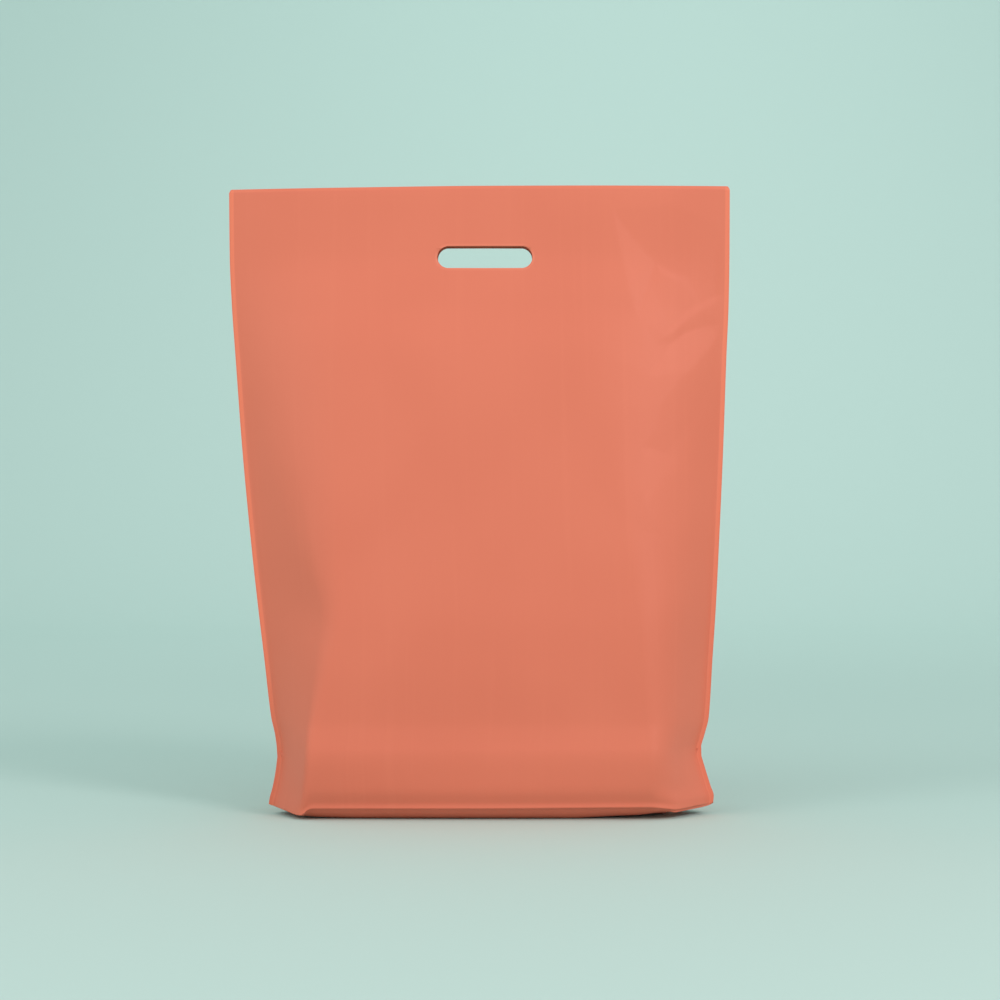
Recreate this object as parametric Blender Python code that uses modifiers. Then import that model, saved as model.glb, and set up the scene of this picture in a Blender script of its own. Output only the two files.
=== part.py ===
"""Plastic carrier bag, standing open on its bottom gusset.

One web of film is folded in a W at the bottom, welded up both sides and punched with a handle slot.
The web is drawn flat as a grid, then carried to where each point of the film stands, so every level
of a panel keeps the bag's full width along the film.
"""

import math

import bmesh
import bpy
import numpy as np
from mathutils import Vector
from mathutils.geometry import delaunay_2d_cdt

# The flat bag
BAG_WIDTH = 0.450  # weld to weld
PANEL_HEIGHT = 0.555  # mouth to bottom fold
GUSSET_DEPTH = 0.050  # bottom fold to the gusset's centre fold
FILM = 0.00005

# Side welds: a hot-knife bead with a flat strip of film inside it
WELD_STRIP = 0.004
BEAD_WIDTH = 0.0008
BEAD_THICKNESS = 0.0013
OUTER_LAYER = 0.0005  # a panel's distance from the middle of the weld
INNER_LAYER = 0.00012  # a gusset half's distance from the middle of the weld

# Handle slot, punched through both panels
SLOT_LENGTH = 0.085
SLOT_HEIGHT = 0.0198
SLOT_BELOW_MOUTH = 0.0556  # mouth to the slot's upper edge
SLOT_ASIDE = 0.005

# How the bag stands
FOLD_LIFT = 0.012  # height added to a panel above its bottom fold
UPRIGHT = 0.9963  # height gained for each metre up the film
MOUTH_CORNER = 0.0025
EAR_GAP = 0.003  # most room between a panel and the gusset half folded against it
TOUCH = 0.70  # where the gusset meets the floor, as a share of the bottom fold's depth
ROUND = 0.4  # how round the gusset turns down from the fold
FOLD_STEP = 0.0004  # the film's last point before a fold
UNIT = GUSSET_DEPTH / 50  # 1 mm at this size: the measure of the tables below

# Along the bag's width, as a share of it: the bottom fold's height above the floor, the height of the
# lowest film under it between the ears, and the mouth's height beside its middle
FOLD_LEVELS = (
    (0.0, 8.6), (0.003, 7.6), (0.009, 6.9), (0.07, 5.2), (0.125, 4.1), (0.137, 4.1), (0.147, 8.2),
    (0.158, 10.0), (0.50, 10.4), (0.75, 11.1), (0.818, 11.2), (0.847, 9.9), (0.886, 7.8), (0.918, 7.9),
    (0.944, 8.3), (0.991, 8.6), (0.997, 9.1), (1.0, 10.2),
)
UNDER_LEVELS = (
    (0.0, 2.4), (0.137, 2.4), (0.16, 1.0), (0.20, 0.4), (0.25, 0.0), (0.67, 0.0), (0.70, 0.6),
    (0.75, 1.9), (0.80, 2.9), (0.845, 5.0), (1.0, 5.0),
)
MOUTH_LEVELS = ((0.0, -3.8), (0.26, -2.1), (0.50, -0.7), (0.75, -0.4), (1.0, -0.6))

# By height up the film: the groove that the pressed fold leaves above itself, and how far a panel's
# middle swells past its corners, as a share of its depth
FOLD_GROOVE = ((0.0, -0.5), (2.5, -1.0), (4.0, -1.1), (7.0, -0.4), (10.0, 0.0), (600.0, 0.0))
CROWN_LEVELS = (
    (0.0, 0.09), (13.0, 0.065), (27.0, 0.03), (40.0, 0.005), (54.0, 0.0), (81.0, 0.02), (120.0, 0.045),
    (600.0, 0.045),
)
GROOVE_END = 0.10  # where the groove starts to fade in from a weld, as a share of the bag's width
GROOVE_FADE = 0.06
SAME_PLACE = 0.00001  # crease points nearer than this are one

# Levels of a panel. The first value is the level: up to 1 in gusset depths from the bottom fold, and
# past 1 in shares of the rest of the panel. Then, for the left and the right side, in gusset depths:
# how far the weld is drawn in, how far the panel's corner is inside the weld; and how soft it is.
LEVELS = (
    (0.00, 0.715, 0.30, 0.52, 0.78, 0.15, 0.30),
    (0.12, 0.735, 0.29, 0.53, 0.82, 0.15, 0.30),
    (0.30, 0.785, 0.35, 0.54, 0.82, 0.13, 0.30),
    (0.62, 0.845, 0.45, 0.52, 0.73, 0.12, 0.35),
    (0.84, 0.870, 0.515, 0.52, 0.67, 0.12, 0.35),
    (0.93, 0.865, 0.525, 0.53, 0.66, 0.12, 0.35),
    (1.02, 0.83, 0.455, 0.58, 0.72, 0.12, 0.35),
    (1.05, 0.76, 0.38, 0.70, 0.77, 0.12, 0.40),
    (1.15, 0.64, 0.315, 1.00, 0.85, 0.14, 0.45),
    (1.25, 0.52, 0.25, 1.25, 0.91, 0.16, 0.50),
    (1.35, 0.41, 0.20, 1.18, 1.00, 0.35, 0.60),
    (1.53, 0.24, 0.12, 1.10, 1.17, 0.70, 0.75),
    (1.70, 0.115, 0.060, 1.15, 1.30, 0.90, 0.90),
    (1.79, 0.052, 0.022, 1.20, 1.37, 0.90, 0.90),
    (1.88, 0.013, 0.007, 1.25, 1.40, 0.90, 0.90),
    (2.00, 0.0014, 0.0014, 1.30, 1.40, 0.90, 0.90),
)
FRONT_CORNERS = (1.0, 1.0)
BACK_CORNERS = (1.08, 0.94)  # the back panel's corners beside the front's, left and right

# Creases pressed into a panel. Each is a line of points: shares of the bag's width and panel height,
# and how far the film stands out there. The film is flat between neighbouring creases.
FRONT_CREASES = (
    ((0.767, 0.963, 0.0), (0.782, 0.893, 0.3), (0.797, 0.832, 0.5), (0.813, 0.783, 0.4)),
    ((0.767, 0.963, 0.0), (0.775, 0.949, -0.3), (0.808, 0.913, -1.1), (0.850, 0.874, -2.0)),
    ((0.850, 0.874, -2.0), (0.833, 0.836, -1.2), (0.813, 0.783, 0.4)),
    ((0.850, 0.874, -2.0), (0.843, 0.832, -1.4), (0.826, 0.780, 0.0)),
    ((0.850, 0.874, -2.0), (0.883, 0.859, -2.1), (0.919, 0.849, -1.9), (0.990, 0.836, -0.8)),
    ((0.850, 0.874, -2.0), (0.863, 0.855, -1.5), (0.891, 0.845, -1.5), (0.919, 0.849, -1.9)),
    ((0.990, 0.826, -0.8), (0.942, 0.809, -1.4), (0.908, 0.793, -1.3), (0.880, 0.770, -0.8),
     (0.865, 0.752, -0.1)),
    ((0.990, 0.816, -0.1), (0.946, 0.798, -0.7), (0.914, 0.781, -0.7), (0.887, 0.762, -0.3),
     (0.865, 0.752, -0.1)),
    ((0.990, 0.776, -0.4), (0.947, 0.770, -1.3), (0.911, 0.760, -1.4), (0.881, 0.742, -0.9),
     (0.847, 0.737, -0.1), (0.830, 0.735, 0.2)),
    ((0.830, 0.735, 0.2), (0.833, 0.688, 0.6), (0.829, 0.632, 0.9), (0.812, 0.571, 0.8),
     (0.810, 0.503, 0.9), (0.809, 0.439, 0.0)),
    ((0.986, 0.760, -0.2), (0.960, 0.732, 0.4), (0.916, 0.695, 1.1), (0.880, 0.664, 1.3),
     (0.856, 0.641, 1.3), (0.842, 0.600, 1.1), (0.812, 0.571, 0.8)),
    ((0.905, 0.556, 0.2), (0.869, 0.527, 0.8), (0.839, 0.503, 1.1), (0.819, 0.476, 1.0),
     (0.809, 0.439, 0.0)),
    ((0.905, 0.556, 0.2), (0.865, 0.564, 0.0), (0.840, 0.572, 0.3), (0.812, 0.571, 0.8)),
    ((0.055, 0.752, 0.0), (0.088, 0.729, 0.2), (0.104, 0.672, 0.4), (0.115, 0.608, 0.6),
     (0.133, 0.519, 0.8), (0.152, 0.424, 0.9), (0.171, 0.363, 0.8), (0.188, 0.322, 0.4)),
)
BACK_CREASES = (
    ((0.150, 0.900, 0.0), (0.190, 0.780, 2.5), (0.210, 0.600, 3.0), (0.205, 0.400, 0.0)),
    ((0.015, 0.760, -0.4), (0.090, 0.720, -2.4), (0.150, 0.640, -2.0), (0.170, 0.500, 0.0)),
    ((0.985, 0.690, 0.4), (0.900, 0.640, 2.6), (0.840, 0.540, 2.2), (0.820, 0.400, 0.0)),
)
# where the film round the creases is back in its smooth shape
FRONT_SMOOTH = (
    (0.821, 0.963), (0.881, 0.969), (0.940, 0.949), (0.984, 0.933), (0.981, 0.709), (0.951, 0.656),
    (0.915, 0.608), (0.928, 0.567), (0.934, 0.527), (0.902, 0.487), (0.854, 0.431), (0.815, 0.392),
    (0.741, 0.951), (0.736, 0.877), (0.739, 0.794), (0.743, 0.729), (0.742, 0.648), (0.734, 0.567),
    (0.733, 0.487), (0.756, 0.408), (0.025, 0.729), (0.035, 0.616), (0.055, 0.487), (0.080, 0.376),
    (0.135, 0.296), (0.215, 0.265), (0.248, 0.360), (0.237, 0.487), (0.216, 0.616), (0.195, 0.729),
    (0.140, 0.800), (0.055, 0.790),
)
BACK_SMOOTH = (
    (0.100, 0.950), (0.250, 0.850), (0.260, 0.600), (0.240, 0.350), (0.110, 0.400), (0.030, 0.600),
    (0.020, 0.850), (0.980, 0.800), (0.860, 0.750), (0.780, 0.550), (0.790, 0.350), (0.900, 0.450),
    (0.980, 0.560),
)

# Where the film is given points, as shares of the gusset depth, of the panel above it, and of the
# panel's width between its two lower corners
GUSSET_STEPS = (0.08, 0.20, 0.36, 0.56, 0.78)
FRONT_STEPS = (
    0.03, 0.07, 0.12, 0.18, 0.24, 0.29, 0.34, 0.40, 0.46, 0.51, 0.555, 0.59, 0.62, 0.645, 0.67,
    0.695, 0.72, 0.745, 0.77, 0.795, 0.82, 0.845, 0.87, 0.895, 0.92, 0.95, 0.98, 1.00,
)
BACK_STEPS = (0.04, 0.09, 0.16, 0.24, 0.32, 0.40, 0.48, 0.56, 0.63, 0.69, 0.75, 0.81, 0.87, 0.93, 1.00)
PANEL_STEPS = (
    0.012, 0.035, 0.09, 0.16, 0.24, 0.33, 0.43, 0.53, 0.63, 0.72, 0.79, 0.85, 0.893, 0.92, 0.947, 0.975,
)


def level_height(level):
    """Height up the film of a value in the first column of LEVELS."""
    if level <= 1:
        return level * GUSSET_DEPTH
    return GUSSET_DEPTH + (level - 1) * (PANEL_HEIGHT - GUSSET_DEPTH)


def smooth_values(stations, values, at):
    """A curve through the stations that never passes a value between two of them."""
    stations = np.asarray(stations)
    values = np.asarray(values)
    steps = np.diff(stations)
    rises = np.diff(values) / steps
    product = rises[1:] * rises[:-1]
    total = np.where(product > 0, rises[1:] + rises[:-1], 1.0)
    slopes = np.concatenate([rises[:1], np.maximum(product, 0) * 2 / total, rises[-1:]])
    index = np.clip(np.searchsorted(stations, at) - 1, 0, len(steps) - 1)
    part = (at - stations[index]) / steps[index]
    square = part * part
    cube = square * part
    return (
        (2 * cube - 3 * square + 1) * values[index]
        + (cube - 2 * square + part) * slopes[index] * steps[index]
        + (3 * square - 2 * cube) * values[index + 1]
        + (cube - square) * slopes[index + 1] * steps[index]
    )


def smooth_step(part):
    part = np.clip(part, 0, 1)
    return part * part * (3 - 2 * part)


def level_value(levels, height):
    """A value of a table by height up the film."""
    return smooth_values(*np.array(levels).T, np.asarray(height) / UNIT)


def share_level(levels, across):
    """A height of a table by place along the bag's width."""
    return UNIT * smooth_values(*np.array(levels).T, np.clip(across / BAG_WIDTH, 0, 1))


def soft_least(first, second, softness):
    """The lesser of two values, rounded where they cross."""
    near = np.maximum(softness - np.abs(first - second), 0) / softness
    return np.minimum(first, second) - near * near * softness / 4


def section(height, corners):
    """One level of a panel: points x, depth and distance along the film from the left weld."""
    table = np.array(LEVELS)
    heights = [level_height(level) for level in table[:, 0]]
    level = [float(smooth_values(heights, column, np.array(height))) for column in table[:, 1:].T]
    left = level[0] * GUSSET_DEPTH - BAG_WIDTH / 2
    right = BAG_WIDTH / 2 - level[1] * GUSSET_DEPTH
    run_left = level[2] * corners[0] * GUSSET_DEPTH
    run_right = level[3] * corners[1] * GUSSET_DEPTH
    x = np.linspace(left, right, 900)
    rise_left = np.maximum(x - left - WELD_STRIP, 0) / run_left
    rise_right = np.maximum(right - WELD_STRIP - x, 0) / run_right
    middle = (left + right) / 2
    crown = 1 + level_value(CROWN_LEVELS, height) * (1 - ((x - middle) / (right - middle)) ** 2)
    shape = soft_least(soft_least(rise_left, crown, level[4]), rise_right, level[5])
    least = 0.0
    most = 2 * GUSSET_DEPTH
    for _ in range(40):
        depth = (least + most) / 2
        length = np.hypot(np.diff(x), np.diff(depth * shape)).sum()
        if length < BAG_WIDTH:
            least = depth
        else:
            most = depth
    along = np.concatenate([[0.0], np.cumsum(np.hypot(np.diff(x), np.diff(depth * shape)))])
    return x, depth * shape, along * BAG_WIDTH / along[-1]


def crease_relief(creases, smooth, across, height):
    """How far the creases move the film out, over arrays of flat positions."""
    places = []
    heights = []
    edges = []
    for line in creases:
        for index, (share_x, share_y, out) in enumerate(line):
            if index:
                edges.append((len(places) - 1, len(places)))
            places.append(Vector((share_x * BAG_WIDTH, share_y * PANEL_HEIGHT)))
            heights.append(out * UNIT)
    for share_x, share_y in smooth:
        places.append(Vector((share_x * BAG_WIDTH, share_y * PANEL_HEIGHT)))
        heights.append(0.0)
    corners, _, faces, sources, _, _ = delaunay_2d_cdt(places, edges, [], 0, SAME_PLACE)
    out = [heights[source[0]] if source else 0.0 for source in sources]
    total = np.zeros(np.broadcast(across, height).shape)
    for face in faces:
        (ax, ay), (bx, by), (cx, cy) = (corners[index] for index in face)
        area = (bx - ax) * (cy - ay) - (cx - ax) * (by - ay)
        second = ((across - ax) * (cy - ay) - (cx - ax) * (height - ay)) / area
        third = ((bx - ax) * (height - ay) - (across - ax) * (by - ay)) / area
        first = 1 - second - third
        inside = (first >= 0) & (second >= 0) & (third >= 0)
        value = first * out[face[0]] + second * out[face[1]] + third * out[face[2]]
        total = np.where(inside, value, total)
    return total


def panel_points(across, heights, corners, creases=(), smooth=()):
    """Where a panel's film stands: arrays of x, depth from the weld's plane, and z, one row per height."""
    x = np.zeros((len(heights), len(across)))
    depth = np.zeros_like(x)
    for row, height in enumerate(heights):
        section_x, section_depth, along = section(height, corners)
        x[row] = np.interp(across, along, section_x)
        depth[row] = np.interp(across, along, section_depth)
    from_end = np.minimum(across, BAG_WIDTH - across)
    inside = np.clip((from_end - WELD_STRIP) / (2 * WELD_STRIP), 0, 1)
    tall = np.asarray(heights)[:, None]
    relief = crease_relief(creases, smooth, across[None, :], tall) if creases else 0
    box = smooth_step((from_end / BAG_WIDTH - GROOVE_END) / GROOVE_FADE)
    groove = UNIT * level_value(FOLD_GROOVE, tall)
    depth = np.maximum(depth + relief * inside + groove * box, 0) + OUTER_LAYER
    cut = np.maximum(MOUTH_CORNER - from_end, 0)
    rounding = MOUTH_CORNER - np.sqrt(MOUTH_CORNER**2 - cut**2)
    up = tall / PANEL_HEIGHT
    level = smooth_step(tall / (2 * GUSSET_DEPTH))
    z = share_level(FOLD_LEVELS, across) * (1 - level) + FOLD_LIFT * level + UPRIGHT * tall
    z = z + share_level(MOUTH_LEVELS, across) * up**2 - rounding * up**8
    return x, depth, z


def corner_reach(corners, right):
    """Distance along the bottom fold from the weld to the panel's corner."""
    run = LEVELS[0][4 if right else 3] * corners[1 if right else 0] * GUSSET_DEPTH
    depth = section(0, corners)[1]
    return WELD_STRIP + math.hypot(run, depth.max() / (1 + CROWN_LEVELS[0][1]))


def gusset_points(across, steps, corners):
    """Where half of the gusset stands, from the bottom fold to its centre fold."""
    reach_left = corner_reach(corners, False)
    reach_right = corner_reach(corners, True)
    x, depth, z = panel_points(across, steps, corners)
    fold_x, _, fold_z = panel_points(across, (0.0,), corners)
    seam_x, _, seam_z = panel_points(across, (GUSSET_DEPTH,), corners)
    under_z = share_level(UNDER_LEVELS, across)
    for column, place in enumerate(across):
        right = place > BAG_WIDTH / 2
        reach = reach_right if right else reach_left
        from_end = BAG_WIDTH - place if right else place
        share = min(max(from_end - WELD_STRIP, 0) / (reach - WELD_STRIP), 1)
        room = OUTER_LAYER - INNER_LAYER + EAR_GAP * min(3 * share, 1)
        end = -1 if right else 0
        corner_x = np.interp(BAG_WIDTH - reach if right else reach, across, fold_x[0])
        centre_x = seam_x[0, end] + (corner_x - seam_x[0, end]) * share
        centre_z = seam_z[0, end] * (1 - share)
        crease = FOLD_STEP + (GUSSET_DEPTH - 2 * FOLD_STEP) * (1 - share)
        crease_x, crease_depth, crease_z = (
            values[0, column] for values in panel_points(across, (crease,), corners)
        )
        crease_depth -= room
        touch = TOUCH * crease_depth
        slope = math.hypot(crease_depth - touch, crease_z - under_z[column])
        for row, step in enumerate(steps):
            if step <= crease + FOLD_STEP / 10:
                depth[row, column] -= room
                continue
            part = (step - crease) / (GUSSET_DEPTH - crease)
            if share < 1:
                x[row, column] = crease_x + (centre_x - crease_x) * part
                depth[row, column] = crease_depth + (INNER_LAYER - crease_depth) * part
                z[row, column] = crease_z + (centre_z - crease_z) * part
                continue
            down = min(part * (slope + touch) / slope, 1)
            inward = max(part * (slope + touch) - slope, 0) / touch
            over = down + ROUND * (1 - math.cos(down * math.pi / 2) - down)
            fall = down + ROUND * (math.sin(down * math.pi / 2) - down)
            x[row, column] = fold_x[0, column]
            depth[row, column] = crease_depth + (touch - crease_depth) * over + (INNER_LAYER - touch) * inward
            z[row, column] = crease_z + (under_z[column] - crease_z) * fall - under_z[column] * inward
    return x, depth, z


def web_points():
    """The web, row by row from the front mouth round the bottom to the back mouth, and its fold rows."""
    reach_left = corner_reach(FRONT_CORNERS, False)
    reach_right = corner_reach(FRONT_CORNERS, True)
    between = BAG_WIDTH - reach_left - reach_right
    ears = [0.0] + [1 - step for step in reversed(GUSSET_STEPS)] + [1.0]
    left = [0.0] + [WELD_STRIP + share * (reach_left - WELD_STRIP) for share in ears]
    right = [0.0] + [WELD_STRIP + share * (reach_right - WELD_STRIP) for share in ears]
    middle = [reach_left + share * between for share in PANEL_STEPS]
    across = np.array(left + middle + [BAG_WIDTH - place for place in reversed(right)])
    gusset = [FOLD_STEP + step * (GUSSET_DEPTH - 2 * FOLD_STEP) for step in (0.0, *GUSSET_STEPS, 1.0)]
    above = PANEL_HEIGHT - GUSSET_DEPTH
    rows = []
    for side, corners, creases, smooth, steps in (
        (-1, FRONT_CORNERS, FRONT_CREASES, FRONT_SMOOTH, FRONT_STEPS),
        (1, BACK_CORNERS, BACK_CREASES, BACK_SMOOTH, BACK_STEPS),
    ):
        heights = gusset + [GUSSET_DEPTH] + [GUSSET_DEPTH + step * above for step in steps]
        panel = panel_points(across, heights, corners, creases, smooth)
        fold = panel_points(across, (0.0,), corners)
        half = gusset_points(across, gusset, corners)
        fold[1][0] = (panel[1][0] + half[1][0]) / 2
        outside, turned, inside = (
            [np.stack([x, side * depth, z], axis=1) for x, depth, z in zip(*points)]
            for points in (panel, fold, half)
        )
        rows.append(outside[::-1] + turned + inside)
    centre = (rows[0][-1] + rows[1][-1]) / 2
    centre[:, 1] = 0
    centre[:, 2] += np.where(centre[:, 2] > FOLD_STEP, FOLD_STEP, 0)
    web = np.array(rows[0] + [centre] + rows[1][::-1])
    web[..., 1] -= (web[..., 1].min() + web[..., 1].max()) / 2
    web[..., 0] -= (web[..., 0].min() + web[..., 0].max()) / 2
    front_fold = len(FRONT_STEPS) + 1 + len(gusset)
    centre_fold = front_fold + len(gusset) + 1
    back_fold = centre_fold + len(gusset) + 1
    return web, (front_fold, centre_fold, back_fold)


def new_object(name, mesh, collection):
    thing = bpy.data.objects.new(name, mesh)
    collection.objects.link(thing)
    return thing


def film_material():
    material = bpy.data.materials.new("film")
    material.use_nodes = True
    shader = material.node_tree.nodes["Principled BSDF"]
    shader.inputs["Base Color"].default_value = (0.78, 0.21, 0.13, 1.0)
    shader.inputs["Roughness"].default_value = 0.45
    shader.inputs["Metallic"].default_value = 0.0
    return material


def film_mesh(web, folds):
    """A flat grid with one vertex for each point of the web, moved to where the film stands."""
    rows, columns = web.shape[:2]
    front_fold, centre_fold, back_fold = folds
    mesh = bpy.data.meshes.new("carrier_bag")
    flat = bmesh.new()
    bmesh.ops.create_grid(flat, x_segments=columns - 1, y_segments=rows - 1, size=0.5)
    place = {}
    for vertex in flat.verts:
        column = round((vertex.co.x + 0.5) * (columns - 1))
        row = round((0.5 - vertex.co.y) * (rows - 1))
        place[row, column] = vertex
    for (row, column), vertex in place.items():
        vertex.co = web[row, column]
    for row in range(rows - 1):
        rising = row < front_fold or centre_fold <= row < back_fold
        for column in range(columns - 1):
            ends = ((row, column), (row + 1, column + 1))
            if rising != (column < columns // 2):
                ends = ((row + 1, column), (row, column + 1))
            bmesh.ops.connect_verts(flat, verts=[place[end] for end in ends])
    for face in flat.faces:
        face.smooth = True
    flat.to_mesh(mesh)
    flat.free()
    return mesh


def bead_mesh(name, seam):
    """The weld's bead, a bar down the ends of the film's layers."""
    turns = ((-1, -1), (1, -1), (1, 1), (-1, 1), (-1, -1))
    mesh = bpy.data.meshes.new(name)
    bar = bmesh.new()
    bmesh.ops.create_grid(bar, x_segments=len(turns) - 1, y_segments=len(seam) - 1, size=0.5)
    for vertex in bar.verts:
        across, thick = turns[round((vertex.co.x + 0.5) * (len(turns) - 1))]
        x, y, z = seam[round((0.5 - vertex.co.y) * (len(seam) - 1))]
        vertex.co = (x + across * BEAD_WIDTH / 2, y + thick * BEAD_THICKNESS / 2, z)
    bmesh.ops.remove_doubles(bar, verts=bar.verts, dist=BEAD_WIDTH / 100)
    bmesh.ops.holes_fill(bar, edges=bar.edges)
    bmesh.ops.recalc_face_normals(bar, faces=bar.faces)
    bar.to_mesh(mesh)
    bar.free()
    return mesh


def slot_mesh():
    """A round-ended punch, long enough to pass through both panels."""
    mesh = bpy.data.meshes.new("slot_punch")
    punch = bmesh.new()
    ring = bmesh.ops.create_circle(punch, cap_ends=True, radius=SLOT_HEIGHT / 2, segments=24)
    for vertex in ring["verts"]:
        if abs(vertex.co.x) > FILM:
            vertex.co.x += math.copysign((SLOT_LENGTH - SLOT_HEIGHT) / 2, vertex.co.x)
        vertex.co.y, vertex.co.z = -2 * GUSSET_DEPTH, vertex.co.y
    grown = bmesh.ops.extrude_face_region(punch, geom=punch.faces[:])
    pushed = [item for item in grown["geom"] if isinstance(item, bmesh.types.BMVert)]
    bmesh.ops.translate(punch, verts=pushed, vec=(0, 4 * GUSSET_DEPTH, 0))
    bmesh.ops.recalc_face_normals(punch, faces=punch.faces)
    middle_z = FOLD_LIFT + UPRIGHT * PANEL_HEIGHT - SLOT_BELOW_MOUTH - SLOT_HEIGHT / 2
    bmesh.ops.translate(punch, verts=punch.verts, vec=(SLOT_ASIDE, 0, middle_z))
    punch.to_mesh(mesh)
    punch.free()
    return mesh


def join(bag, other, operation):
    other.hide_render = True
    other.display_type = "WIRE"
    step = bag.modifiers.new(other.name, "BOOLEAN")
    step.operation = operation
    step.solver = "EXACT"
    step.object = other


def build():
    for old in list(bpy.data.objects):
        bpy.data.objects.remove(old)
    bag_parts = bpy.data.collections.new("plastic_carrier_bag")
    cutters = bpy.data.collections.new("cutters")
    bpy.context.scene.collection.children.link(bag_parts)
    bpy.context.scene.collection.children.link(cutters)

    web, folds = web_points()
    bag = new_object("carrier_bag", film_mesh(web, folds), bag_parts)
    bag.data.materials.append(film_material())
    skin = bag.modifiers.new("film", "SOLIDIFY")
    skin.thickness = FILM
    skin.offset = -1.0
    skin.use_quality_normals = True

    front_fold, centre_fold, _ = folds
    for name, column in (("left_bead", 0), ("right_bead", -1)):
        seam = web[: front_fold + 1, column].copy()
        seam[:, 1] = web[centre_fold, column, 1]
        seam[0, 2] -= BEAD_WIDTH / 2
        seam[-1, 2] -= BEAD_WIDTH / 2
        join(bag, new_object(name, bead_mesh(name, seam), cutters), "UNION")
    join(bag, new_object("slot_punch", slot_mesh(), cutters), "DIFFERENCE")


build()
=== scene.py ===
import math

import bmesh
import bpy
import numpy as np
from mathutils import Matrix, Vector
from mathutils.geometry import delaunay_2d_cdt


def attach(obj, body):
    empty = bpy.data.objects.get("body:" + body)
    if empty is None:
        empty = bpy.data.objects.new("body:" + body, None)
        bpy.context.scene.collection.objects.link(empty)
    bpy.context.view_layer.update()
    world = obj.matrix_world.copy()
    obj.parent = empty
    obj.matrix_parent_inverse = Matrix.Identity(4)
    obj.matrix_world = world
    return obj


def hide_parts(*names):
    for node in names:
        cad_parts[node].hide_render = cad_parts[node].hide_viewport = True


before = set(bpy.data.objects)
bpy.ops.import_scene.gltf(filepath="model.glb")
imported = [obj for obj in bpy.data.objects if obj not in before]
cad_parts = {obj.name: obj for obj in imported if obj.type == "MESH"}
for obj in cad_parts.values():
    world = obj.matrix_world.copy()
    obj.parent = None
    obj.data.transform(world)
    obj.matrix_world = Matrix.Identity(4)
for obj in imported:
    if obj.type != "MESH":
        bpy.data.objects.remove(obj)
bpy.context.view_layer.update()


# The bag. One web of blown polythene film, 50 micrometres thick, is folded in a W at the bottom and
# welded up both sides. It stands open on the gusset: each level of a panel is a curve as long as the
# flat bag is wide, and the folds pressed into the film stand proud of that curve.
BAG_WIDTH = 0.450
PANEL_HEIGHT = 0.555
GUSSET_DEPTH = 0.050
FILM = 0.00005
WELD_STRIP = 0.004
# how far the outer and the inner layers lie from the middle of a weld
OUTER_LAYER = 0.0005
INNER_LAYER = 0.00012
# a point of a panel stands this high, plus this share of its height up the film
FOLD_LIFT = 0.012
UPRIGHT = 0.9963
MOUTH_CORNER = 0.0025
# the distance from a fold to the next row of points, and the most that the layers of an ear part
FOLD_STEP = 0.0004
EAR_GAP = 0.003
# the gusset reaches the floor at this share of its depth, and falls as roundly as this; in an ear the
# fall sets in past this share of the ear's length from the weld
TOUCH = 0.70
ROUND = 0.4
BEND_START = 0.4
# how much of the ear's inner layer rolls under the fold, in gusset depths
EAR_TURN = 0.45

# Heights along the bag's width, each as a share of the width and metres above the floor: the bottom
# fold, the lowest film under it, and the mouth beside its middle
FOLD_LEVELS = (
    (0.0, 0.0086), (0.003, 0.0076), (0.009, 0.0069), (0.07, 0.0052), (0.125, 0.0041), (0.137, 0.0041),
    (0.147, 0.0082), (0.158, 0.0100), (0.50, 0.0104), (0.75, 0.0111), (0.818, 0.0112), (0.847, 0.0099),
    (0.886, 0.0078), (0.918, 0.0079), (0.944, 0.0083), (0.991, 0.0086), (0.997, 0.0091), (1.0, 0.0102),
)
UNDER_LEVELS = (
    (0.0, 0.0085), (0.009, 0.0067), (0.07, 0.0050), (0.125, 0.0034), (0.137, 0.0024), (0.16, 0.0010),
    (0.20, 0.0004), (0.25, 0.0), (0.67, 0.0), (0.70, 0.0006), (0.75, 0.0019), (0.80, 0.0029),
    (0.845, 0.0050), (0.90, 0.0052), (0.96, 0.0058), (0.99, 0.0070), (1.0, 0.0095),
)
MOUTH_LEVELS = ((0.0, -0.0038), (0.26, -0.0021), (0.50, -0.0007), (0.75, -0.0004), (1.0, -0.0006))

# Heights up the film: how far the pressed fold pulls the film in just above itself, and how far a
# panel's middle swells past its corners, as a share of its depth. The groove starts this share of the
# width from each side and comes in over the next share.
FOLD_GROOVE = (
    (0.0, -0.0005), (0.0025, -0.0010), (0.0040, -0.0011), (0.0070, -0.0004), (0.010, 0.0), (0.6, 0.0),
)
GROOVE_START = 0.10
GROOVE_FADE = 0.06
CROWN_LEVELS = (
    (0.0, 0.09), (0.013, 0.065), (0.027, 0.03), (0.040, 0.005), (0.054, 0.0), (0.081, 0.02),
    (0.12, 0.045), (0.6, 0.045),
)

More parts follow.
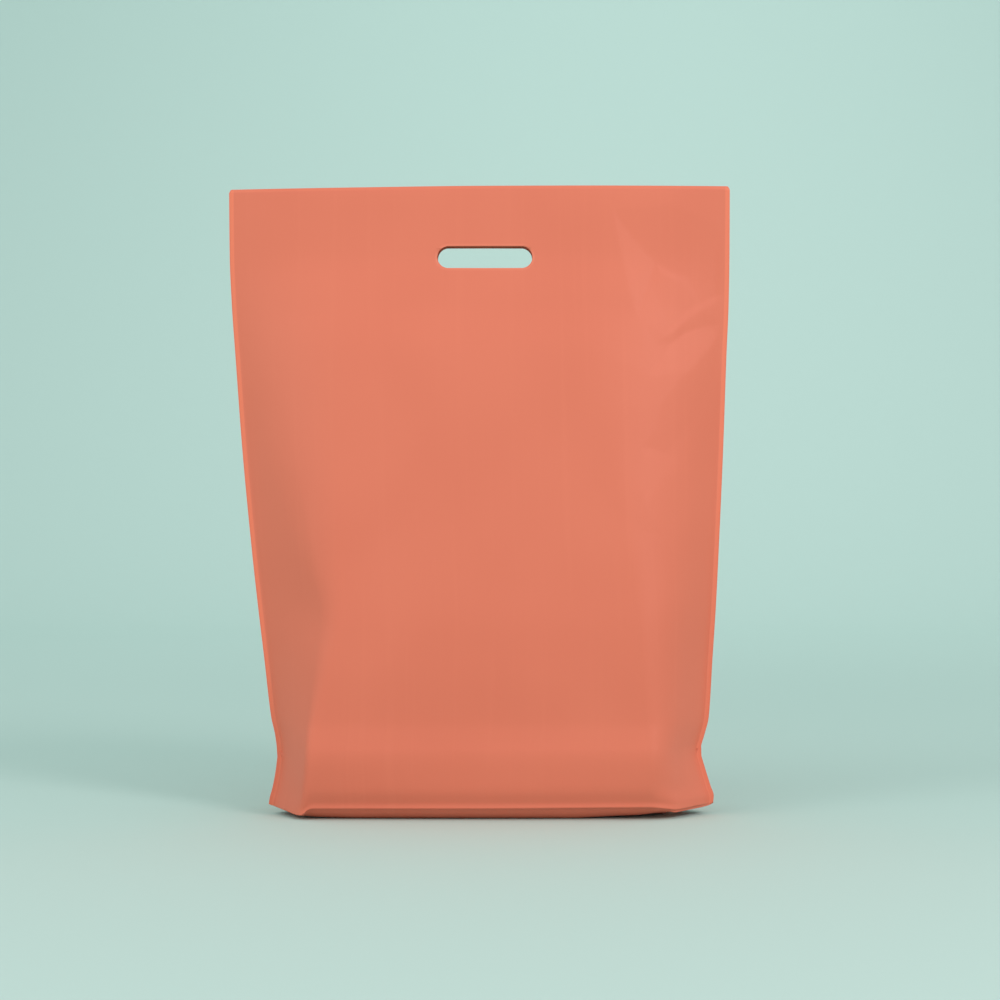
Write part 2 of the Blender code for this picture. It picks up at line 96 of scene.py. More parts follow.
# Levels of a panel. The first value is the level: up to 1 in gusset depths from the bottom fold, and
# past 1 in shares of the rest of the panel. Then, for the left and the right side, in gusset depths:
# how far the weld is drawn in, and how far the panel's corner is inside the weld. Last, for both
# sides, how soft the corner is.
LEVELS = (
    (0.00, 0.715, 0.30, 0.52, 0.78, 0.15, 0.30),
    (0.12, 0.735, 0.29, 0.53, 0.82, 0.15, 0.30),
    (0.30, 0.785, 0.35, 0.54, 0.82, 0.13, 0.30),
    (0.62, 0.845, 0.45, 0.52, 0.73, 0.12, 0.35),
    (0.84, 0.870, 0.515, 0.52, 0.67, 0.12, 0.35),
    (0.93, 0.865, 0.525, 0.53, 0.66, 0.12, 0.35),
    (1.02, 0.83, 0.455, 0.58, 0.72, 0.12, 0.35),
    (1.05, 0.76, 0.38, 0.70, 0.77, 0.12, 0.40),
    (1.15, 0.64, 0.315, 1.00, 0.85, 0.14, 0.45),
    (1.25, 0.52, 0.25, 1.25, 0.91, 0.16, 0.50),
    (1.35, 0.41, 0.20, 1.18, 1.00, 0.35, 0.60),
    (1.53, 0.24, 0.12, 1.10, 1.17, 0.70, 0.75),
    (1.70, 0.115, 0.060, 1.15, 1.30, 0.90, 0.90),
    (1.79, 0.052, 0.022, 1.20, 1.37, 0.90, 0.90),
    (1.88, 0.013, 0.007, 1.25, 1.40, 0.90, 0.90),
    (2.00, 0.0014, 0.0014, 1.30, 1.40, 0.90, 0.90),
)
# the two panels' left and right corners, as shares of the values above
FRONT_CORNERS = (1.0, 1.0)
BACK_CORNERS = (1.08, 0.94)

# Creases pressed into a panel. Each is a line of points: shares of the bag's width and height, and how
# far the film stands out there, in millimetres. The film is flat between neighbouring creases, and the
# smooth points round them hold it down.
TRIANGLE_CREASES = (
    ((0.767, 0.963, 0.0), (0.782, 0.893, 0.3), (0.797, 0.832, 0.4), (0.813, 0.783, 0.1)),
    ((0.767, 0.963, 0.0), (0.775, 0.949, -0.3), (0.808, 0.913, -1.1), (0.850, 0.874, -2.0)),
    ((0.850, 0.874, -2.0), (0.833, 0.836, -1.4), (0.813, 0.783, 0.1)),
    ((0.850, 0.874, -2.0), (0.843, 0.832, -1.4), (0.826, 0.780, -0.1)),
    ((0.850, 0.874, -2.0), (0.883, 0.859, -2.1), (0.919, 0.849, -1.9), (0.990, 0.836, -0.8)),
    ((0.850, 0.874, -2.0), (0.863, 0.855, -1.5), (0.891, 0.845, -1.5), (0.919, 0.849, -1.9)),
)
CRESCENT_CREASES = (
    ((0.990, 0.826, -0.8), (0.942, 0.809, -1.6), (0.908, 0.793, -1.6), (0.880, 0.770, -1.2),
     (0.865, 0.752, -0.7)),
    ((0.990, 0.816, -0.1), (0.946, 0.798, -0.9), (0.914, 0.781, -1.0), (0.887, 0.762, -0.7),
     (0.865, 0.752, -0.7)),
)
BULGE_CREASES = (
    ((0.990, 0.776, -0.4), (0.947, 0.770, -1.6), (0.911, 0.760, -1.8), (0.881, 0.742, -1.4),
     (0.847, 0.737, -0.7), (0.830, 0.735, 0.0)),
    ((0.830, 0.735, 0.0), (0.833, 0.688, 0.6), (0.829, 0.632, 0.9), (0.812, 0.571, 0.8),
     (0.810, 0.503, 0.9), (0.809, 0.439, 0.0)),
    ((0.986, 0.760, -0.2), (0.960, 0.732, 0.4), (0.916, 0.695, 1.1), (0.880, 0.664, 1.3),
     (0.856, 0.641, 1.3), (0.842, 0.600, 1.1), (0.812, 0.571, 0.8)),
    ((0.905, 0.556, 0.2), (0.869, 0.527, 0.8), (0.839, 0.503, 1.1), (0.819, 0.476, 1.0),
     (0.809, 0.439, 0.0)),
    ((0.905, 0.556, 0.2), (0.865, 0.564, 0.0), (0.840, 0.572, 0.3), (0.812, 0.571, 0.8)),
)
LEFT_CREASE = (
    (0.055, 0.752, 0.0), (0.088, 0.729, 0.2), (0.104, 0.672, 0.4), (0.115, 0.608, 0.6),
    (0.133, 0.519, 0.8), (0.152, 0.424, 0.9), (0.171, 0.363, 0.8), (0.188, 0.322, 0.4),
)
FRONT_CREASES = TRIANGLE_CREASES + CRESCENT_CREASES + BULGE_CREASES + (LEFT_CREASE,)
FRONT_SMOOTH = (
    (0.821, 0.963), (0.881, 0.969), (0.940, 0.949), (0.984, 0.933), (0.981, 0.709), (0.951, 0.656),
    (0.915, 0.608), (0.928, 0.567), (0.934, 0.527), (0.902, 0.487), (0.854, 0.431), (0.815, 0.392),
    (0.741, 0.951), (0.736, 0.877), (0.739, 0.794), (0.743, 0.729), (0.742, 0.648), (0.734, 0.567),
    (0.733, 0.487), (0.756, 0.408),
    (0.025, 0.729), (0.035, 0.616), (0.055, 0.487), (0.080, 0.376), (0.135, 0.296), (0.215, 0.265),
    (0.248, 0.360), (0.237, 0.487), (0.216, 0.616), (0.195, 0.729), (0.140, 0.800), (0.055, 0.790),
)
BACK_CREASES = (
    ((0.150, 0.900, 0.0), (0.190, 0.780, 2.5), (0.210, 0.600, 3.0), (0.205, 0.400, 0.0)),
    ((0.015, 0.760, -0.4), (0.090, 0.720, -2.4), (0.150, 0.640, -2.0), (0.170, 0.500, 0.0)),
    ((0.985, 0.690, 0.4), (0.900, 0.640, 2.6), (0.840, 0.540, 2.2), (0.820, 0.400, 0.0)),
)
BACK_SMOOTH = (
    (0.100, 0.950), (0.250, 0.850), (0.260, 0.600), (0.240, 0.350), (0.110, 0.400), (0.030, 0.600),
    (0.020, 0.850), (0.980, 0.800), (0.860, 0.750), (0.780, 0.550), (0.790, 0.350), (0.900, 0.450),
    (0.980, 0.560),
)
# points of creases this near are one, and a place this little outside a facet counts as on it
SAME_PLACE = 1e-5
ON_EDGE = 1e-9

# The grid the film is cut into: the steps of an ear, the spans of columns between the ears as their far
# ends and counts, and the rows up a panel above the gusset in the same way. Lower down, the rows stand
# at the heights in FOLD_ROWS.
EAR_STEPS = 16
RIGHT_EAR_FINER = 3
COLUMN_SPANS = ((0.27, 25), (0.76, 38), (1.0, 24))
FRONT_SPANS = ((0.15, 12), (0.42, 14), (0.975, 145), (1.0, 4))
BACK_SPANS = ((0.15, 8), (1.0, 34))
FOLD_ROWS = (
    0.0004, 0.0015, 0.003, 0.0045, 0.006, 0.008, 0.0105, 0.013, 0.016, 0.020, 0.025, 0.032, 0.041,
)
# a level's curve has this many points, and its depth is found in this many halvings
SECTION_POINTS = 900
HALVINGS = 40


def level_height(level):
    """Height up the film of a value in the first column of LEVELS."""
    if level <= 1:
        return level * GUSSET_DEPTH
    return GUSSET_DEPTH + (level - 1) * (PANEL_HEIGHT - GUSSET_DEPTH)


def smooth_values(stations, values, at):
    """A curve through the stations that never passes a value between two of them."""
    stations = np.asarray(stations)
    values = np.asarray(values)
    steps = np.diff(stations)
    rises = np.diff(values) / steps
    product = rises[1:] * rises[:-1]
    total = np.where(product > 0, rises[1:] + rises[:-1], 1.0)
    slopes = np.concatenate([rises[:1], np.maximum(product, 0) * 2 / total, rises[-1:]])
    index = np.clip(np.searchsorted(stations, at) - 1, 0, len(steps) - 1)
    part = (at - stations[index]) / steps[index]
    square = part * part
    cube = square * part
    return (
        (2 * cube - 3 * square + 1) * values[index]
        + (cube - 2 * square + part) * slopes[index] * steps[index]
        + (3 * square - 2 * cube) * values[index + 1]
        + (cube - square) * slopes[index + 1] * steps[index]
    )


def smooth_step(part):
    """A share from 0 to 1 that starts and ends gently."""
    part = np.clip(part, 0, 1)
    return part * part * (3 - 2 * part)


def soft_least(first, second, softness):
    """The lesser of two values, rounded where they cross."""
    near = np.maximum(softness - np.abs(first - second), 0) / softness
    return np.minimum(first, second) - near * near * softness / 4


def share_level(levels, across):
    """A height that varies along the bag's width."""
    stations, heights = np.array(levels).T
    return smooth_values(stations, heights, np.clip(across / BAG_WIDTH, 0, 1))


def section(height, corners):
    """One level of a panel: points x, depth and distance along the film from the left weld."""
    levels = np.array(LEVELS)
    heights = [level_height(level) for level in levels[:, 0]]
    values = [float(smooth_values(heights, column, np.array(height))) for column in levels[:, 1:].T]
    inset_left, inset_right, run_left, run_right, soft_left, soft_right = values
    left = inset_left * GUSSET_DEPTH - BAG_WIDTH / 2
    right = BAG_WIDTH / 2 - inset_right * GUSSET_DEPTH
    x = np.linspace(left, right, SECTION_POINTS)
    rise_left = np.maximum(x - left - WELD_STRIP, 0) / (run_left * corners[0] * GUSSET_DEPTH)
    rise_right = np.maximum(right - WELD_STRIP - x, 0) / (run_right * corners[1] * GUSSET_DEPTH)
    middle = (left + right) / 2
    swell = float(smooth_values(*np.array(CROWN_LEVELS).T, np.array(height)))
    crown = 1 + swell * (1 - ((x - middle) / (right - middle)) ** 2)
    shape = soft_least(soft_least(rise_left, crown, soft_left), rise_right, soft_right)
    # the panel is as deep as makes the curve just as long as the film is wide
    least = 0.0
    most = 2 * GUSSET_DEPTH
    for _ in range(HALVINGS):
        depth = (least + most) / 2
        if np.hypot(np.diff(x), np.diff(depth * shape)).sum() < BAG_WIDTH:
            least = depth
        else:
            most = depth
    along = np.concatenate([[0.0], np.cumsum(np.hypot(np.diff(x), np.diff(depth * shape)))])
    return x, depth * shape, along * BAG_WIDTH / along[-1]


def crease_relief(creases, smooth, across, height):
    """How far the creases move the film out, over arrays of flat positions."""
    places = []
    heights = []
    edges = []
    for line in creases:
        for index, (share_x, share_y, out) in enumerate(line):
            if index:
                edges.append((len(places) - 1, len(places)))
            places.append(Vector((share_x * BAG_WIDTH, share_y * PANEL_HEIGHT)))
            heights.append(out / 1000)
    for share_x, share_y in smooth:
        places.append(Vector((share_x * BAG_WIDTH, share_y * PANEL_HEIGHT)))
        heights.append(0.0)
    corners, _, faces, sources, _, _ = delaunay_2d_cdt(places, edges, [], 0, SAME_PLACE)
    out = [heights[source[0]] if source else 0.0 for source in sources]
    total = np.zeros(np.broadcast(across, height).shape)
    for face in faces:
        (ax, ay), (bx, by), (cx, cy) = (corners[index] for index in face)
        area = (bx - ax) * (cy - ay) - (cx - ax) * (by - ay)
        second = ((across - ax) * (cy - ay) - (cx - ax) * (height - ay)) / area
        third = ((bx - ax) * (height - ay) - (across - ax) * (by - ay)) / area
        first = 1 - second - third
        inside = (first >= -ON_EDGE) & (second >= -ON_EDGE) & (third >= -ON_EDGE)
        value = first * out[face[0]] + second * out[face[1]] + third * out[face[2]]
        total = np.where(inside, value, total)
    return total


def panel_points(across, heights, corners, creases=(), smooth=()):
    """Where a panel's film stands: x, depth from the weld's plane, and z, one row per height."""
    x = np.zeros((len(heights), len(across)))
    depth = np.zeros_like(x)
    for row, height in enumerate(heights):
        section_x, section_depth, along = section(height, corners)
        x[row] = np.interp(across, along, section_x)
        depth[row] = np.interp(across, along, section_depth)
    tall = np.asarray(heights)[:, None]
    from_end = np.minimum(across, BAG_WIDTH - across)

    # creases end at the weld strips, and the fold's groove at the ears
    off_weld = np.clip((from_end - WELD_STRIP) / (2 * WELD_STRIP), 0, 1)
    off_ear = smooth_step((from_end / BAG_WIDTH - GROOVE_START) / GROOVE_FADE)
    relief = crease_relief(creases, smooth, across[None, :], tall)
    groove = smooth_values(*np.array(FOLD_GROOVE).T, tall)
    depth = np.maximum(depth + relief * off_weld + groove * off_ear, 0) + OUTER_LAYER

    # the fold's waves fade within two gusset depths, and only the mouth has rounded corners
    level = smooth_step(tall / (2 * GUSSET_DEPTH))
    z = share_level(FOLD_LEVELS, across) * (1 - level) + FOLD_LIFT * level + UPRIGHT * tall
    up = tall / PANEL_HEIGHT
    cut = np.maximum(MOUTH_CORNER - from_end, 0)
    rounding = MOUTH_CORNER - np.sqrt(MOUTH_CORNER**2 - cut**2)
    return x, depth, z + share_level(MOUTH_LEVELS, across) * up**2 - rounding * up**8


def corner_reach(corners, right):
    """Distance along the bottom fold from the weld to the panel's corner."""
    run = LEVELS[0][4 if right else 3] * corners[1 if right else 0] * GUSSET_DEPTH
    depth = section(0, corners)[1]
    return WELD_STRIP + math.hypot(run, depth.max() / (1 + CROWN_LEVELS[0][1]))


def rolled(step, z, fold_z, dip):
    """Height of the ear's inner layer, which hangs a little under the fold before it rises."""
    part = min(step / (EAR_TURN * GUSSET_DEPTH), 1)
    return fold_z + (z - fold_z) * part**4 - dip * math.sin(math.pi * part)


def gusset_points(across, steps, corners):
    """Where half of the gusset stands, from the bottom fold to its centre fold."""
    reach_left = corner_reach(corners, False)
    reach_right = corner_reach(corners, True)
    x, depth, z = panel_points(across, steps, corners)
    fold_x, _, fold_z = panel_points(across, (0.0,), corners)
    seam_x, _, seam_z = panel_points(across, (GUSSET_DEPTH,), corners)
    under_z = share_level(UNDER_LEVELS, across)
    for column, place in enumerate(across):
        # the share of the ear's length, from 0 at the weld to 1 at the panel's corner and past it
        right = place > BAG_WIDTH / 2
        reach = reach_right if right else reach_left
        from_end = BAG_WIDTH - place if right else place
        share = min(max(from_end - WELD_STRIP, 0) / (reach - WELD_STRIP), 1)
        room = OUTER_LAYER - INNER_LAYER + EAR_GAP * min(3 * share, 1)
        dip = fold_z[0, column] - under_z[column]

        # where the centre fold stands, and the crease at which the gusset leaves the panel
        corner_x = np.interp(BAG_WIDTH - reach if right else reach, across, fold_x[0])
        end = -1 if right else 0
        centre_x = seam_x[0, end] + (corner_x - seam_x[0, end]) * share
        centre_z = seam_z[0, end] * (1 - share)
        crease = FOLD_STEP + (GUSSET_DEPTH - 2 * FOLD_STEP) * (1 - share)
        crease_x, crease_depth, crease_z = (
            values[0, column] for values in panel_points(across, (crease,), corners)
        )
        crease_depth -= room
        crease_z = rolled(crease, crease_z, fold_z[0, column], dip)

        touch = TOUCH * crease_depth
        slope = math.hypot(crease_depth - touch, crease_z - under_z[column])
        bend = smooth_step((share - BEND_START) / (1 - BEND_START))
        for row, step in enumerate(steps):
            if step <= crease + FOLD_STEP / 10:
                depth[row, column] -= room
                z[row, column] = rolled(step, z[row, column], fold_z[0, column], dip)
                continue
            # past the crease the film falls to the floor in a round, and then lies along it
            part = (step - crease) / (GUSSET_DEPTH - crease)
            x[row, column] = crease_x + (centre_x - crease_x) * part if share < 1 else fold_x[0, column]
            down = min(part * (slope + touch) / slope, 1)
            inward = max(part * (slope + touch) - slope, 0) / touch
            over = down + ROUND * (1 - math.cos(down * math.pi / 2) - down)
            fall = down + ROUND * (math.sin(down * math.pi / 2) - down)
            floor = under_z[column]
            bent_depth = crease_depth + (touch - crease_depth) * over + (INNER_LAYER - touch) * inward
            bent_z = crease_z + (floor - crease_z) * fall + (centre_z - floor) * inward
            flat_depth = crease_depth + (INNER_LAYER - crease_depth) * part
            flat_z = crease_z + (centre_z - crease_z) * part
            depth[row, column] = flat_depth + (bent_depth - flat_depth) * bend
            z[row, column] = flat_z + (bent_z - flat_z) * bend
    return x, depth, z


def spread(start, spans):
    """Stations from a start through spans, each an end and a count."""
    stations = [start]
    for end, count in spans:
        stations += list(np.linspace(stations[-1], end, count + 1)[1:])
    return np.array(stations)


def web_columns():
    """The columns' distances from the left edge of the flat bag."""
    reach_left = corner_reach(FRONT_CORNERS, False)
    reach_right = corner_reach(FRONT_CORNERS, True)
    coarse = np.linspace(0, 1, EAR_STEPS + 1)
    fine = np.linspace(1, 0, RIGHT_EAR_FINER * EAR_STEPS + 1)
    left_ear = WELD_STRIP + coarse * (reach_left - WELD_STRIP)
    right_ear = BAG_WIDTH - WELD_STRIP - fine * (reach_right - WELD_STRIP)
    last = 1 - reach_right / BAG_WIDTH
    spans = [(min(end, last), count) for end, count in COLUMN_SPANS]
    middle = BAG_WIDTH * spread(reach_left / BAG_WIDTH, spans)[1:-1]
    strip = np.array((0.0, WELD_STRIP / 4, WELD_STRIP / 2))
    return np.concatenate([strip, left_ear, middle, right_ear, BAG_WIDTH - strip[::-1]])


def web_points():
    """The web from the front mouth round the bottom to the back mouth: its points, row by row, the
    columns' and the rows' shares of the flat web, and the rows of the front and the centre fold."""
    across = web_columns()
    gusset = list(FOLD_STEP + np.linspace(0, 1, EAR_STEPS + 1) * (GUSSET_DEPTH - 2 * FOLD_STEP))
    rows = []
    places = []
    for side, corners, creases, smooth, spans in (
        (-1, FRONT_CORNERS, FRONT_CREASES, FRONT_SMOOTH, FRONT_SPANS),
        (1, BACK_CORNERS, BACK_CREASES, BACK_SMOOTH, BACK_SPANS),
    ):
        heights = list(FOLD_ROWS) + list(PANEL_HEIGHT * spread(GUSSET_DEPTH / PANEL_HEIGHT, spans))
        panel = panel_points(across, heights, corners, creases, smooth)
        fold = panel_points(across, (0.0,), corners)
        half = gusset_points(across, gusset, corners)
        fold[1][0] = (panel[1][0] + half[1][0]) / 2
        panel_rows, fold_rows, half_rows = (
            [np.stack([x, side * depth, z], axis=1) for x, depth, z in zip(*points)]
            for points in (panel, fold, half)
        )
        rows.append(panel_rows[::-1] + fold_rows + half_rows)
        above = [PANEL_HEIGHT - height for height in heights[::-1]]
        places.append(above + [PANEL_HEIGHT + step for step in [0.0] + gusset])
    centre = (rows[0][-1] + rows[1][-1]) / 2
    centre[:, 1] = 0
    centre[:, 2] += np.where(centre[:, 2] > FOLD_STEP, FOLD_STEP, 0)
    web = np.array(rows[0] + [centre] + rows[1][::-1])
    for axis in (0, 1):
        web[..., axis] -= (web[..., axis].min() + web[..., axis].max()) / 2
    length = 2 * (PANEL_HEIGHT + GUSSET_DEPTH)
    along = np.array(places[0] + [length / 2] + [length - place for place in places[1][::-1]])
    front_fold = len(rows[0]) - len(gusset) - 1
    return web, (across / BAG_WIDTH, along / length), (front_fold, len(rows[0]))


def grid_place(vertex, rows, columns):
    """Row from the far edge and column from the left of a vertex in a flat grid, one metre square."""
    return round((0.5 - vertex.co.y) * (rows - 1)), round((vertex.co.x + 0.5) * (columns - 1))


# The handle slot. One stroke of a steel punch cuts it through both panels, with round ends for the
# hand. Its upper edge is this far below the mouth, and its middle this far to the right of the bag's
# and this high above the floor.
SLOT_LENGTH = 0.085
SLOT_HEIGHT = 0.0198
SLOT_BELOW = 0.0556
SLOT_ASIDE = 0.005
SLOT_MIDDLE = FOLD_LIFT + UPRIGHT * PANEL_HEIGHT - SLOT_BELOW - SLOT_HEIGHT / 2


def slot_punch():
    """The punch that cut the handle slot: round-ended, through both panels."""
    mesh = bpy.data.meshes.new("slot_punch")
    punch = bmesh.new()
    ring = bmesh.ops.create_circle(punch, cap_ends=True, radius=SLOT_HEIGHT / 2, segments=48)
    for vertex in ring["verts"]:
        if abs(vertex.co.x) > FILM:
            vertex.co.x += math.copysign((SLOT_LENGTH - SLOT_HEIGHT) / 2, vertex.co.x)
        vertex.co.y, vertex.co.z = -2 * GUSSET_DEPTH, vertex.co.y
    grown = bmesh.ops.extrude_face_region(punch, geom=punch.faces[:])
    pushed = [item for item in grown["geom"] if isinstance(item, bmesh.types.BMVert)]
    bmesh.ops.translate(punch, verts=pushed, vec=(0, 4 * GUSSET_DEPTH, 0))
    bmesh.ops.recalc_face_normals(punch, faces=punch.faces)
    bmesh.ops.translate(punch, verts=punch.verts, vec=(SLOT_ASIDE, 0, SLOT_MIDDLE))
    punch.to_mesh(mesh)
    punch.free()
    cutter = bpy.data.objects.new("slot_punch", mesh)
    bpy.context.scene.collection.objects.link(cutter)
    cutter.hide_render = True
    return cutter


# The film's own look: polythene pigmented through, one even coral colour with a low sheen. A Shade is
# one material, and arithmetic on its Values adds the Math nodes.
class Value:
    """One number in a shader, as the output of a node."""

    def __init__(self, shade, socket):
        self.shade = shade
        self.socket = socket

    def __add__(self, other):
        return self.shade.math("ADD", self, other)

    def __radd__(self, other):
        return self.shade.math("ADD", self, other)

    def __sub__(self, other):
        return self.shade.math("SUBTRACT", self, other)

    def __rsub__(self, other):
        return self.shade.math("SUBTRACT", other, self)

    def __mul__(self, other):
        return self.shade.math("MULTIPLY", self, other)

    def __rmul__(self, other):
        return self.shade.math("MULTIPLY", self, other)


class Shade:
    """A material and the nodes that feed its Principled shader."""

    def __init__(self, name):
        self.material = bpy.data.materials.new(name)
        self.material.use_nodes = True
        self.nodes = self.material.node_tree.nodes
        self.links = self.material.node_tree.links
        self.surface = self.nodes["Principled BSDF"]

    def feed(self, socket, value):
        """Link a value to a socket, or set the socket to it."""
        if isinstance(value, Value):
            self.links.new(value.socket, socket)
        elif isinstance(value, bpy.types.NodeSocket):
            self.links.new(value, socket)
        else:
            socket.default_value = value

    def node(self, kind, settings=None, **inputs):
        """A node of that type. Inputs are named as on the node, with _ for a space."""
        made = self.nodes.new(kind)
        for name, setting in (settings or {}).items():
            setattr(made, name, setting)
        for name, value in inputs.items():
            self.feed(made.inputs[name.replace("_", " ")], value)
        return made

    def math(self, operation, *terms):
        """The result of one Math node."""
        made = self.node("ShaderNodeMath", {"operation": operation})
        for socket, term in zip(made.inputs, terms):
            self.feed(socket, term)
        return Value(self, made.outputs[0])

    def mix(self, share, first, second):
        """One colour turned into another by a share from 0 to 1."""
        made = self.node("ShaderNodeMix", {"data_type": "RGBA"})
        for index, value in ((0, share), (6, first), (7, second)):
            self.feed(made.inputs[index], value)
        return made.outputs[2]

    def noise(self, place, scale, detail=2.0, roughness=0.5):
        """Soft noise from 0 to 1 over a place."""
        made = self.node(
            "ShaderNodeTexNoise", Vector=place, Scale=scale, Detail=detail, Roughness=roughness
        )
        return Value(self, made.outputs["Fac"])

    def between(self, value, low, high):
        """How far a value is from low to high, as a smooth share."""
        made = self.node("ShaderNodeMapRange", {"interpolation_type": "SMOOTHSTEP"})
        for index, term in enumerate((value, low, high, 0.0, 1.0)):
            self.feed(made.inputs[index], term)
        return Value(self, made.outputs[0])

    def set(self, **inputs):
        """Feed the shader's own inputs."""
        for name, value in inputs.items():
            self.feed(self.surface.inputs[name.replace("_", " ")], value)


def film_material():
    """Coral polythene: pigmented through, low sheen, with the faint waves of blown film."""
    thick_coral = (0.790, 0.178, 0.100, 1)
    thin_coral = (0.815, 0.188, 0.107, 1)
    line_coral = (0.86, 0.214, 0.124, 1)
    weld_highlight_coral = (0.94, 0.216, 0.118, 1)
    rim_highlight_coral = (0.93, 0.235, 0.140, 1)
    shade = Shade("coral_film")
    flat_map = shade.node("ShaderNodeUVMap", {"uv_map": "flat"})
    flat = shade.node("ShaderNodeSeparateXYZ", Vector=flat_map.outputs[0])
    length = 2 * (PANEL_HEIGHT + GUSSET_DEPTH)
    across = Value(shade, flat.outputs["X"]) * BAG_WIDTH
    along = Value(shade, flat.outputs["Y"]) * length
    solid = shade.node("ShaderNodeTexCoord").outputs["Object"]
    standing = shade.node("ShaderNodeSeparateXYZ", Vector=solid)
    x, z = (Value(shade, standing.outputs[axis]) for axis in "XZ")

    # the extruder's lines run the length of the web, and thick and thin film makes broad soft clouds
    sheet = shade.node("ShaderNodeCombineXYZ", X=across * 90, Y=along * 2.5)
    lines = shade.noise(sheet.outputs[0], scale=1.0, detail=3.0, roughness=0.6)
    clouds = shade.noise(solid, scale=9.0, detail=1.0)
    grain = shade.noise(solid, scale=420.0, detail=2.0, roughness=0.6)
    tint = shade.mix(shade.between(clouds, 0.3, 0.7), thick_coral, thin_coral)
    tint = shade.mix(shade.between(lines, 0.50, 0.75) * 0.16, tint, line_coral)

    # painted highlights: weld strips made lighter against the shade on them, lit rims at mouth and slot
    from_weld = shade.math("MINIMUM", across, BAG_WIDTH - across)
    strip = 1 - shade.between(from_weld, 0.0030, 0.0044)
    from_mouth = shade.math("MINIMUM", along, length - along)
    aside = shade.math("ABSOLUTE", x - SLOT_ASIDE)
    past_end = shade.math("MAXIMUM", aside - (SLOT_LENGTH - SLOT_HEIGHT) / 2, 0.0)
    from_middle = shade.math("SQRT", past_end * past_end + (z - SLOT_MIDDLE) * (z - SLOT_MIDDLE))
    from_edge = shade.math("MINIMUM", from_mouth, from_middle - SLOT_HEIGHT / 2)
    # painted highlight: a lighter rim along the mouth and the slot, as on cut edges catching the light
    painted_rim_highlight = 1 - shade.between(from_edge, 0.0008, 0.0030)
    # painted highlight: the weld strips are lighter to make up for the shade the bag casts on them
    tint = shade.mix(strip * 0.85, tint, weld_highlight_coral)
    tint = shade.mix(painted_rim_highlight * 0.5, tint, rim_highlight_coral)

    shade.set(Base_Color=tint, Roughness=0.56 + 0.08 * (grain - 0.5) - 0.05 * strip, IOR=1.5)
    shade.set(Specular_IOR_Level=0.55)
    waves = clouds * 0.5 + lines * 0.02 + grain * 0.003
    bump = shade.node("ShaderNodeBump", Height=waves, Strength=0.25, Distance=0.004)
    shade.set(Normal=bump.outputs["Normal"])
    return shade.material


def make_film(web, places):
    """The film as a solid skin over the web's points, with the flat web as its UV map."""
    rows, columns = web.shape[:2]
    mesh = bpy.data.meshes.new("film")
    flat = bmesh.new()
    bmesh.ops.create_grid(flat, x_segments=columns - 1, y_segments=rows - 1, size=0.5)
    layer = flat.loops.layers.uv.new("flat")
    spots = {vertex: grid_place(vertex, rows, columns) for vertex in flat.verts}
    for face in flat.faces:
        face.smooth = True
        for loop in face.loops:
            row, column = spots[loop.vert]
            loop[layer].uv = (places[0][column], places[1][row])
    for vertex, (row, column) in spots.items():
        vertex.co = web[row, column]
    flat.to_mesh(mesh)
    flat.free()
    film = bpy.data.objects.new("bag_film", mesh)
    bpy.context.scene.collection.objects.link(film)
    skin = film.modifiers.new("film", "SOLIDIFY")
    skin.thickness = FILM
    skin.offset = -1.0
    skin.use_quality_normals = True
    punch = film.modifiers.new("handle_slot", "BOOLEAN")
    punch.operation = "DIFFERENCE"
    punch.solver = "EXACT"
    punch.object = slot_punch()
    film.data.materials.append(film_material())
    return film


web, places, (front_fold, centre_fold) = web_points()
film = make_film(web, places)
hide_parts("carrier_bag")
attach(film, "root")


# The side welds. A hot knife cuts through all the layers and seals them in one stroke, which leaves a
# thin bead of melted film down each side, from the mouth to the bottom fold.
BEAD_WIDTH = 0.0008
BEAD_THICKNESS = 0.0013
BEAD_SIDES = 10


def bead_material():
    """Melted film: the same coral, a little denser and glossier."""
    shade = Shade("weld_bead")
    shade.set(Base_Color=(0.92, 0.222, 0.125, 1), Roughness=0.38, IOR=1.5)
    return shade.material


def make_bead(name, column):
    """A thin rod, oval across, that covers the cut edges in one column of the web."""
    seam = web[: front_fold + 1, column].copy()
    seam[:, 1] = web[centre_fold, column, 1]
    seam[0, 2] -= BEAD_WIDTH / 2
    seam[-1, 2] -= BEAD_WIDTH / 2
    mesh = bpy.data.meshes.new(name)
    rod = bmesh.new()
    bmesh.ops.create_grid(rod, x_segments=BEAD_SIDES, y_segments=len(seam) - 1, size=0.5)
    for vertex in rod.verts:
        row, side = grid_place(vertex, len(seam), BEAD_SIDES + 1)
        turn = 2 * math.pi * side / BEAD_SIDES
        x, y, z = seam[row]
        out = math.cos(turn) * BEAD_WIDTH / 2
        deep = math.sin(turn) * BEAD_THICKNESS / 2
        vertex.co = (x + out, y + deep, z)
    bmesh.ops.remove_doubles(rod, verts=rod.verts, dist=BEAD_WIDTH / 100)
    bmesh.ops.holes_fill(rod, edges=rod.edges)
    bmesh.ops.recalc_face_normals(rod, faces=rod.faces)
    for face in rod.faces:
        face.smooth = len(face.verts) == 4
    rod.to_mesh(mesh)
    rod.free()
    bead = bpy.data.objects.new(name, mesh)
    bpy.context.scene.collection.objects.link(bead)
    bead.data.materials.append(bead_material())
    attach(bead, "root")


for name, column in (("left_weld_bead", 0), ("right_weld_bead", -1)):
    make_bead(name, column)


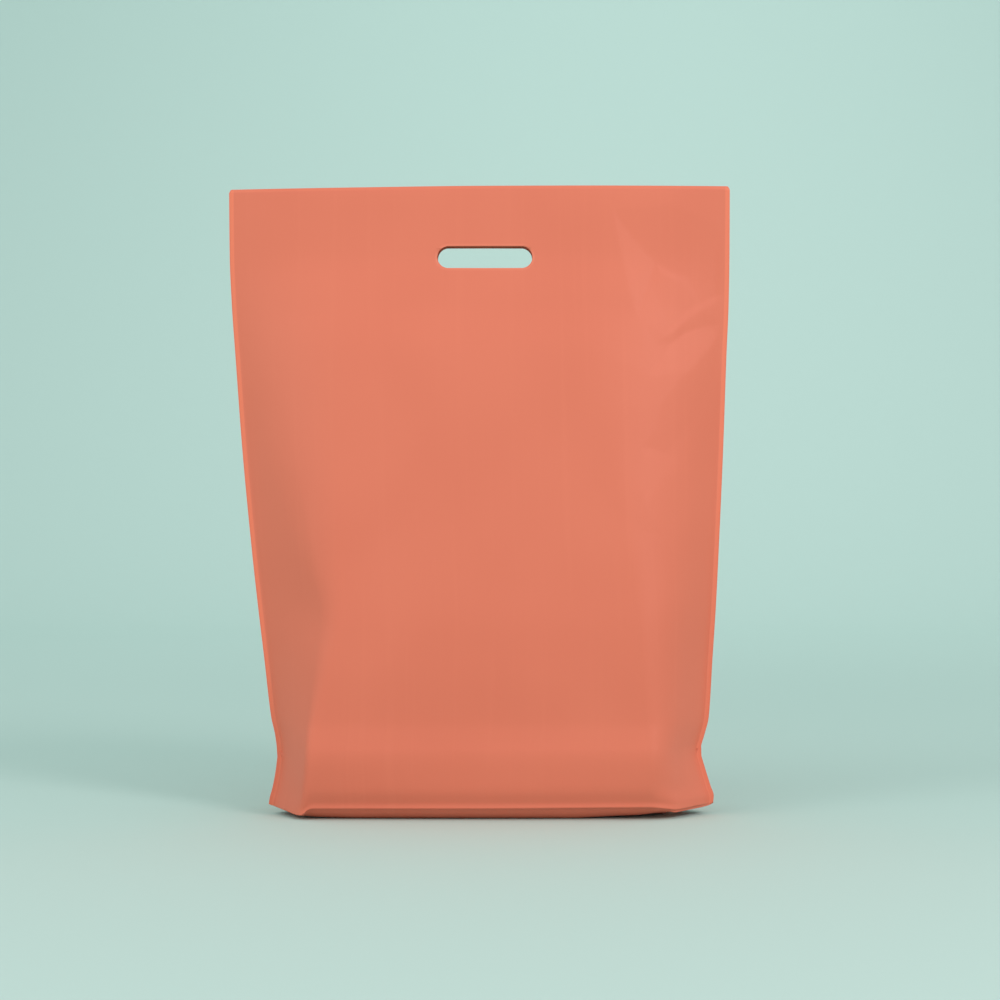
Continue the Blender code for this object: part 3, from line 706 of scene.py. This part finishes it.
# The set. One wide sweep of pale mint paper is the floor, and turns up into a wall 5 metres behind the
# bag, so that no edge shows from the front and the floor takes the bag's shadow.
def make_sweep():
    """The paper, as its profile from the front to the top of the wall, drawn out sideways."""
    front, back, bend, top, wide = -20.0, 5.0, 2.0, 8.0, 9.0
    steps = 36
    profile = [(front, 0.0), (back - bend, 0.0)]
    for step in range(1, steps + 1):
        turn = math.pi / 2 * step / steps
        profile.append((back - bend + bend * math.sin(turn), bend - bend * math.cos(turn)))
    profile.append((back, top))
    mesh = bpy.data.meshes.new("sweep")
    paper = bmesh.new()
    bmesh.ops.create_grid(paper, x_segments=1, y_segments=len(profile) - 1, size=0.5)
    for vertex in paper.verts:
        row, _ = grid_place(vertex, len(profile), 2)
        y, z = profile[-1 - row]
        vertex.co = (vertex.co.x * 2 * wide, y, z)
    for face in paper.faces:
        face.smooth = True
    paper.to_mesh(mesh)
    paper.free()
    sweep = bpy.data.objects.new("sweep", mesh)
    bpy.context.scene.collection.objects.link(sweep)
    shade = Shade("mint_paper")
    shade.set(Base_Color=(0.545, 0.71, 0.675, 1), Roughness=0.9)
    sweep.data.materials.append(shade.material)
    return sweep


make_sweep()


# The light. A round soft box from the upper right in front, a weaker one from the upper left, and an
# even pale room round them. A third lamp, behind the bag, lights the wall alone.
def make_light(name, place, at, size, power, colour):
    """A round area lamp at a place, turned towards another."""
    lamp = bpy.data.lights.new(name, "AREA")
    lamp.shape = "DISK"
    lamp.size = size
    lamp.energy = power
    lamp.color = colour
    thing = bpy.data.objects.new(name, lamp)
    bpy.context.scene.collection.objects.link(thing)
    thing.location = place
    thing.rotation_euler = (Vector(at) - Vector(place)).to_track_quat("-Z", "Y").to_euler()


make_light("key", (1.87, -2.3, 2.05), (0.0, 0.0, 0.32), size=1.1, power=36, colour=(1.0, 0.86, 0.86))
make_light("fill", (-2.1, -1.7, 2.0), (0.0, 0.0, 0.45), size=1.6, power=17, colour=(1.0, 0.93, 0.90))
make_light("wall_wash", (0.5, 2.7, 2.8), (0.3, 5.0, 0.9), size=1.8, power=19, colour=(1.0, 0.95, 0.94))
room = bpy.data.worlds.new("room")
room.use_nodes = True
room.node_tree.nodes["Background"].inputs["Color"].default_value = (0.90, 1.0, 0.97, 1)
room.node_tree.nodes["Background"].inputs["Strength"].default_value = 0.75
bpy.context.scene.world = room


# The camera. It stands level, square to the front panel and at half the bag's height, about 2.2 metres
# away, so that the bag's sides hardly converge.
def make_camera():
    """A long lens that looks along +Y."""
    lens = bpy.data.cameras.new("camera")
    lens.sensor_width = 36
    lens.lens = 88
    camera = bpy.data.objects.new("camera", lens)
    bpy.context.scene.collection.objects.link(camera)
    camera.location = (0.0185, -2.2, 0.282)
    camera.rotation_euler = (math.radians(90), 0, 0)
    return camera


bpy.context.scene.camera = make_camera()
bpy.context.scene.view_settings.view_transform = "Standard"
